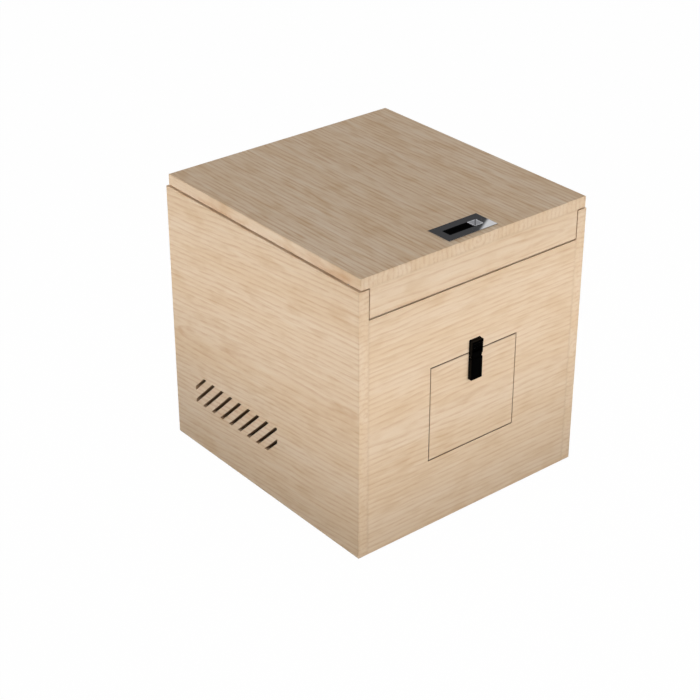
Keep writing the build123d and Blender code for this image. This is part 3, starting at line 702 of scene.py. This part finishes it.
def camera():
    """The camera, looking at AIM from the front left and above."""
    data = bpy.data.cameras.new("camera")
    data.lens = LENS
    data.sensor_width = SENSOR
    data.clip_end = SIGHT
    eye = bpy.data.objects.new("camera", data)
    bpy.context.scene.collection.objects.link(eye)
    back = Vector((
        math.sin(AZIMUTH) * math.cos(ELEVATION),
        -math.cos(AZIMUTH) * math.cos(ELEVATION),
        math.sin(ELEVATION),
    ))
    eye.location = AIM + back * CAMERA_DISTANCE
    eye.rotation_euler = (-back).to_track_quat("-Z", "Y").to_euler()
    bpy.context.scene.camera = eye


def floor():
    """A plain pale floor that reads as white and takes a faint shadow."""
    mesh = bpy.data.meshes.new("floor")
    corners = [(-1, -1), (1, -1), (1, 1), (-1, 1)]
    mesh.from_pydata([(x * FLOOR_HALF, y * FLOOR_HALF, 0) for x, y in corners], [], [(0, 1, 2, 3)])
    piece = bpy.data.objects.new("floor", mesh)
    bpy.context.scene.collection.objects.link(piece)
    material = bpy.data.materials.new("pale_floor")
    material.use_nodes = True
    tree = material.node_tree
    tree.nodes.clear()
    matt = tree.nodes.new("ShaderNodeBsdfDiffuse")
    matt.inputs["Color"].default_value = FLOOR_GREY
    glow = tree.nodes.new("ShaderNodeEmission")
    glow.inputs["Strength"].default_value = FLOOR_GLOW
    seen = tree.nodes.new("ShaderNodeLightPath").outputs["Is Camera Ray"]
    mix = tree.nodes.new("ShaderNodeMixShader")
    mixed = (times(tree, seen, FLOOR_GLOW_SHARE), matt.outputs[0], glow.outputs[0])
    for socket, value in zip(mix.inputs, mixed):
        put(tree, socket, value)
    out = tree.nodes.new("ShaderNodeOutputMaterial")
    put(tree, out.inputs["Surface"], mix.outputs[0])
    mesh.materials.append(material)


def softbox(name, place_at, look_at, power):
    """A large soft rectangular lamp that neither polished metal nor the camera sees."""
    data = bpy.data.lights.new(name, "AREA")
    data.shape = "RECTANGLE"
    data.size, data.size_y = LAMP_SIZE
    data.energy = power
    data.spread = LAMP_SPREAD
    data.color = LAMP_COLOUR
    lamp = bpy.data.objects.new(name, data)
    bpy.context.scene.collection.objects.link(lamp)
    lamp.location = place_at
    lamp.rotation_euler = (Vector(look_at) - Vector(place_at)).to_track_quat("-Z", "Y").to_euler()
    lamp.visible_glossy = False
    lamp.visible_camera = False


def studio():
    """An even white room, with a low lamp before each side of the box.

    Polished metal sees a different room: dark grey, black to the front right, a bright wall
    at the front left, and a bright panel at the back right with a clean slanting edge.
    """
    world = bpy.data.worlds.new("studio")
    bpy.context.scene.world = world
    world.use_nodes = True
    tree = world.node_tree
    tree.nodes.clear()
    rays = tree.nodes.new("ShaderNodeLightPath").outputs
    way = tree.nodes.new("ShaderNodeTexCoord").outputs["Generated"]
    x, y, z = parts_of(tree, way)

    def towards(direction):
        """How far a ray points along a direction, -1 to 1."""
        return vector_node(tree, "DOT_PRODUCT", way, direction).outputs["Value"]

    panel = times(
        tree, ease(tree, towards(PANEL_EDGE), -0.001, 0.001), ease(tree, x, 0.0, 0.2),
        ease(tree, z, 0.1, 0.2), ease(tree, y, 0.3, 0.5),
    )
    wall = ease(tree, towards(FRONT_LEFT), 0.982, 0.995)
    gloom = ease(tree, towards(FRONT_RIGHT), 0.3, 0.7)
    seen = DIM
    for share, colour in ((gloom, BLACK), (wall, BRIGHT), (panel, PANEL)):
        seen = blend_colours(tree, share, seen, colour)
    room = blend_colours(tree, rays["Is Glossy Ray"], ROOM, seen)
    room = blend_colours(tree, rays["Is Camera Ray"], room, BACKDROP)
    light = tree.nodes.new("ShaderNodeBackground")
    put(tree, light.inputs["Color"], room)
    out = tree.nodes.new("ShaderNodeOutputWorld")
    put(tree, out.inputs["Surface"], light.outputs[0])
    softbox("front_lamp", place_at=(0.42, -1.45, 0.46), look_at=(0.20, -0.24, 0.31), power=2.95)
    softbox("left_lamp", place_at=(-1.40, 0.30, 0.50), look_at=(-0.22, 0.20, 0.36), power=2.42)
    softbox("right_lamp", place_at=(1.45, 0.20, 0.42), look_at=(0.22, 0.0, 0.33), power=2.2)
    softbox("back_lamp", place_at=(0.0, 1.50, 0.42), look_at=(0.0, 0.24, 0.33), power=2.2)


camera()
floor()
studio()
bpy.context.scene.view_settings.view_transform = "Standard"
bpy.context.scene.cycles.use_denoising = True
